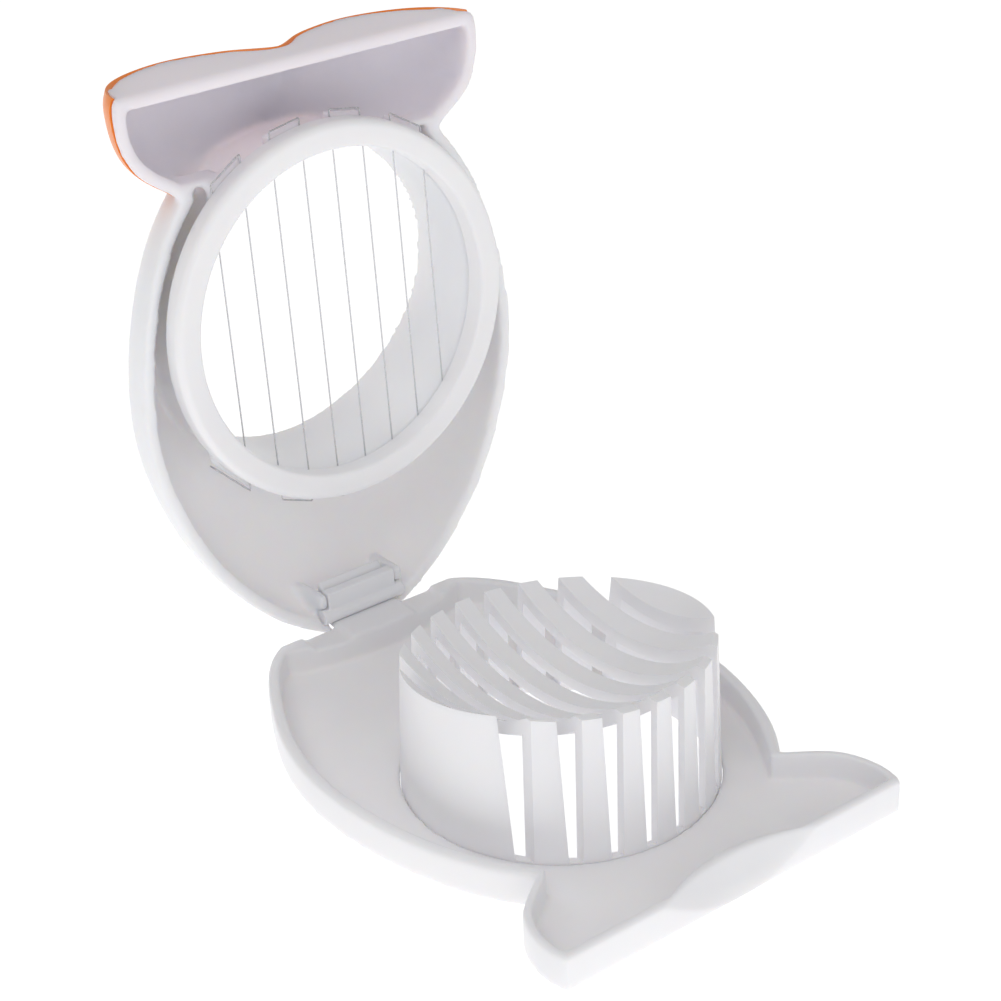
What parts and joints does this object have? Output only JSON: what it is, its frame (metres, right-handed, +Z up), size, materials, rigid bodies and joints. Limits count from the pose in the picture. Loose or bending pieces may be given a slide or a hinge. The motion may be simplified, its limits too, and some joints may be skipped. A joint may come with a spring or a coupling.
{
  "type": "egg slicer",
  "caption": "Fish-shaped egg slicer with a slotted cradle on a tray and a hinged lid that carries a ring of taut cutting wires.",
  "frame": {"origin": "on the table plane and the middle line, under the nose block, 5 mm in front of the hinge axis", "axes": "+X from the fish's nose to its tail, +Y to the side, +Z up from the table; the lid stands open"},
  "size_m": [0.1344, 0.0832, 0.1187],
  "materials": {
    "white_plastic": "smooth moulded, soft gloss",
    "orange_plastic": "smooth moulded, soft gloss",
    "steel_wire": "drawn stainless wire"
  },
  "bodies": {
    "base": {"base_tray": "white_plastic", "egg_cradle": "white_plastic"},
    "lid": {"lid_shell": "white_plastic", "tail_cover": "orange_plastic", "hinge_bar": "white_plastic", "wire_ring": "white_plastic", "cutting_wire_1": "steel_wire", "cutting_wire_2": "steel_wire", "cutting_wire_3": "steel_wire", "cutting_wire_4": "steel_wire", "cutting_wire_5": "steel_wire", "cutting_wire_6": "steel_wire", "cutting_wire_7": "steel_wire", "cutting_wire_8": "steel_wire", "wire_returns_tail": "steel_wire", "wire_returns_nose": "steel_wire", "wire_end_left": "steel_wire", "wire_end_right": "steel_wire"}
  },
  "joints": [
    {"name": "lid_hinge", "type": "hinge", "parent": "base", "child": "lid", "pos_m": [-0.005, 0, 0.0081], "axis": [0, 1, 0], "range_deg": [0, 93.8]}
  ]
}
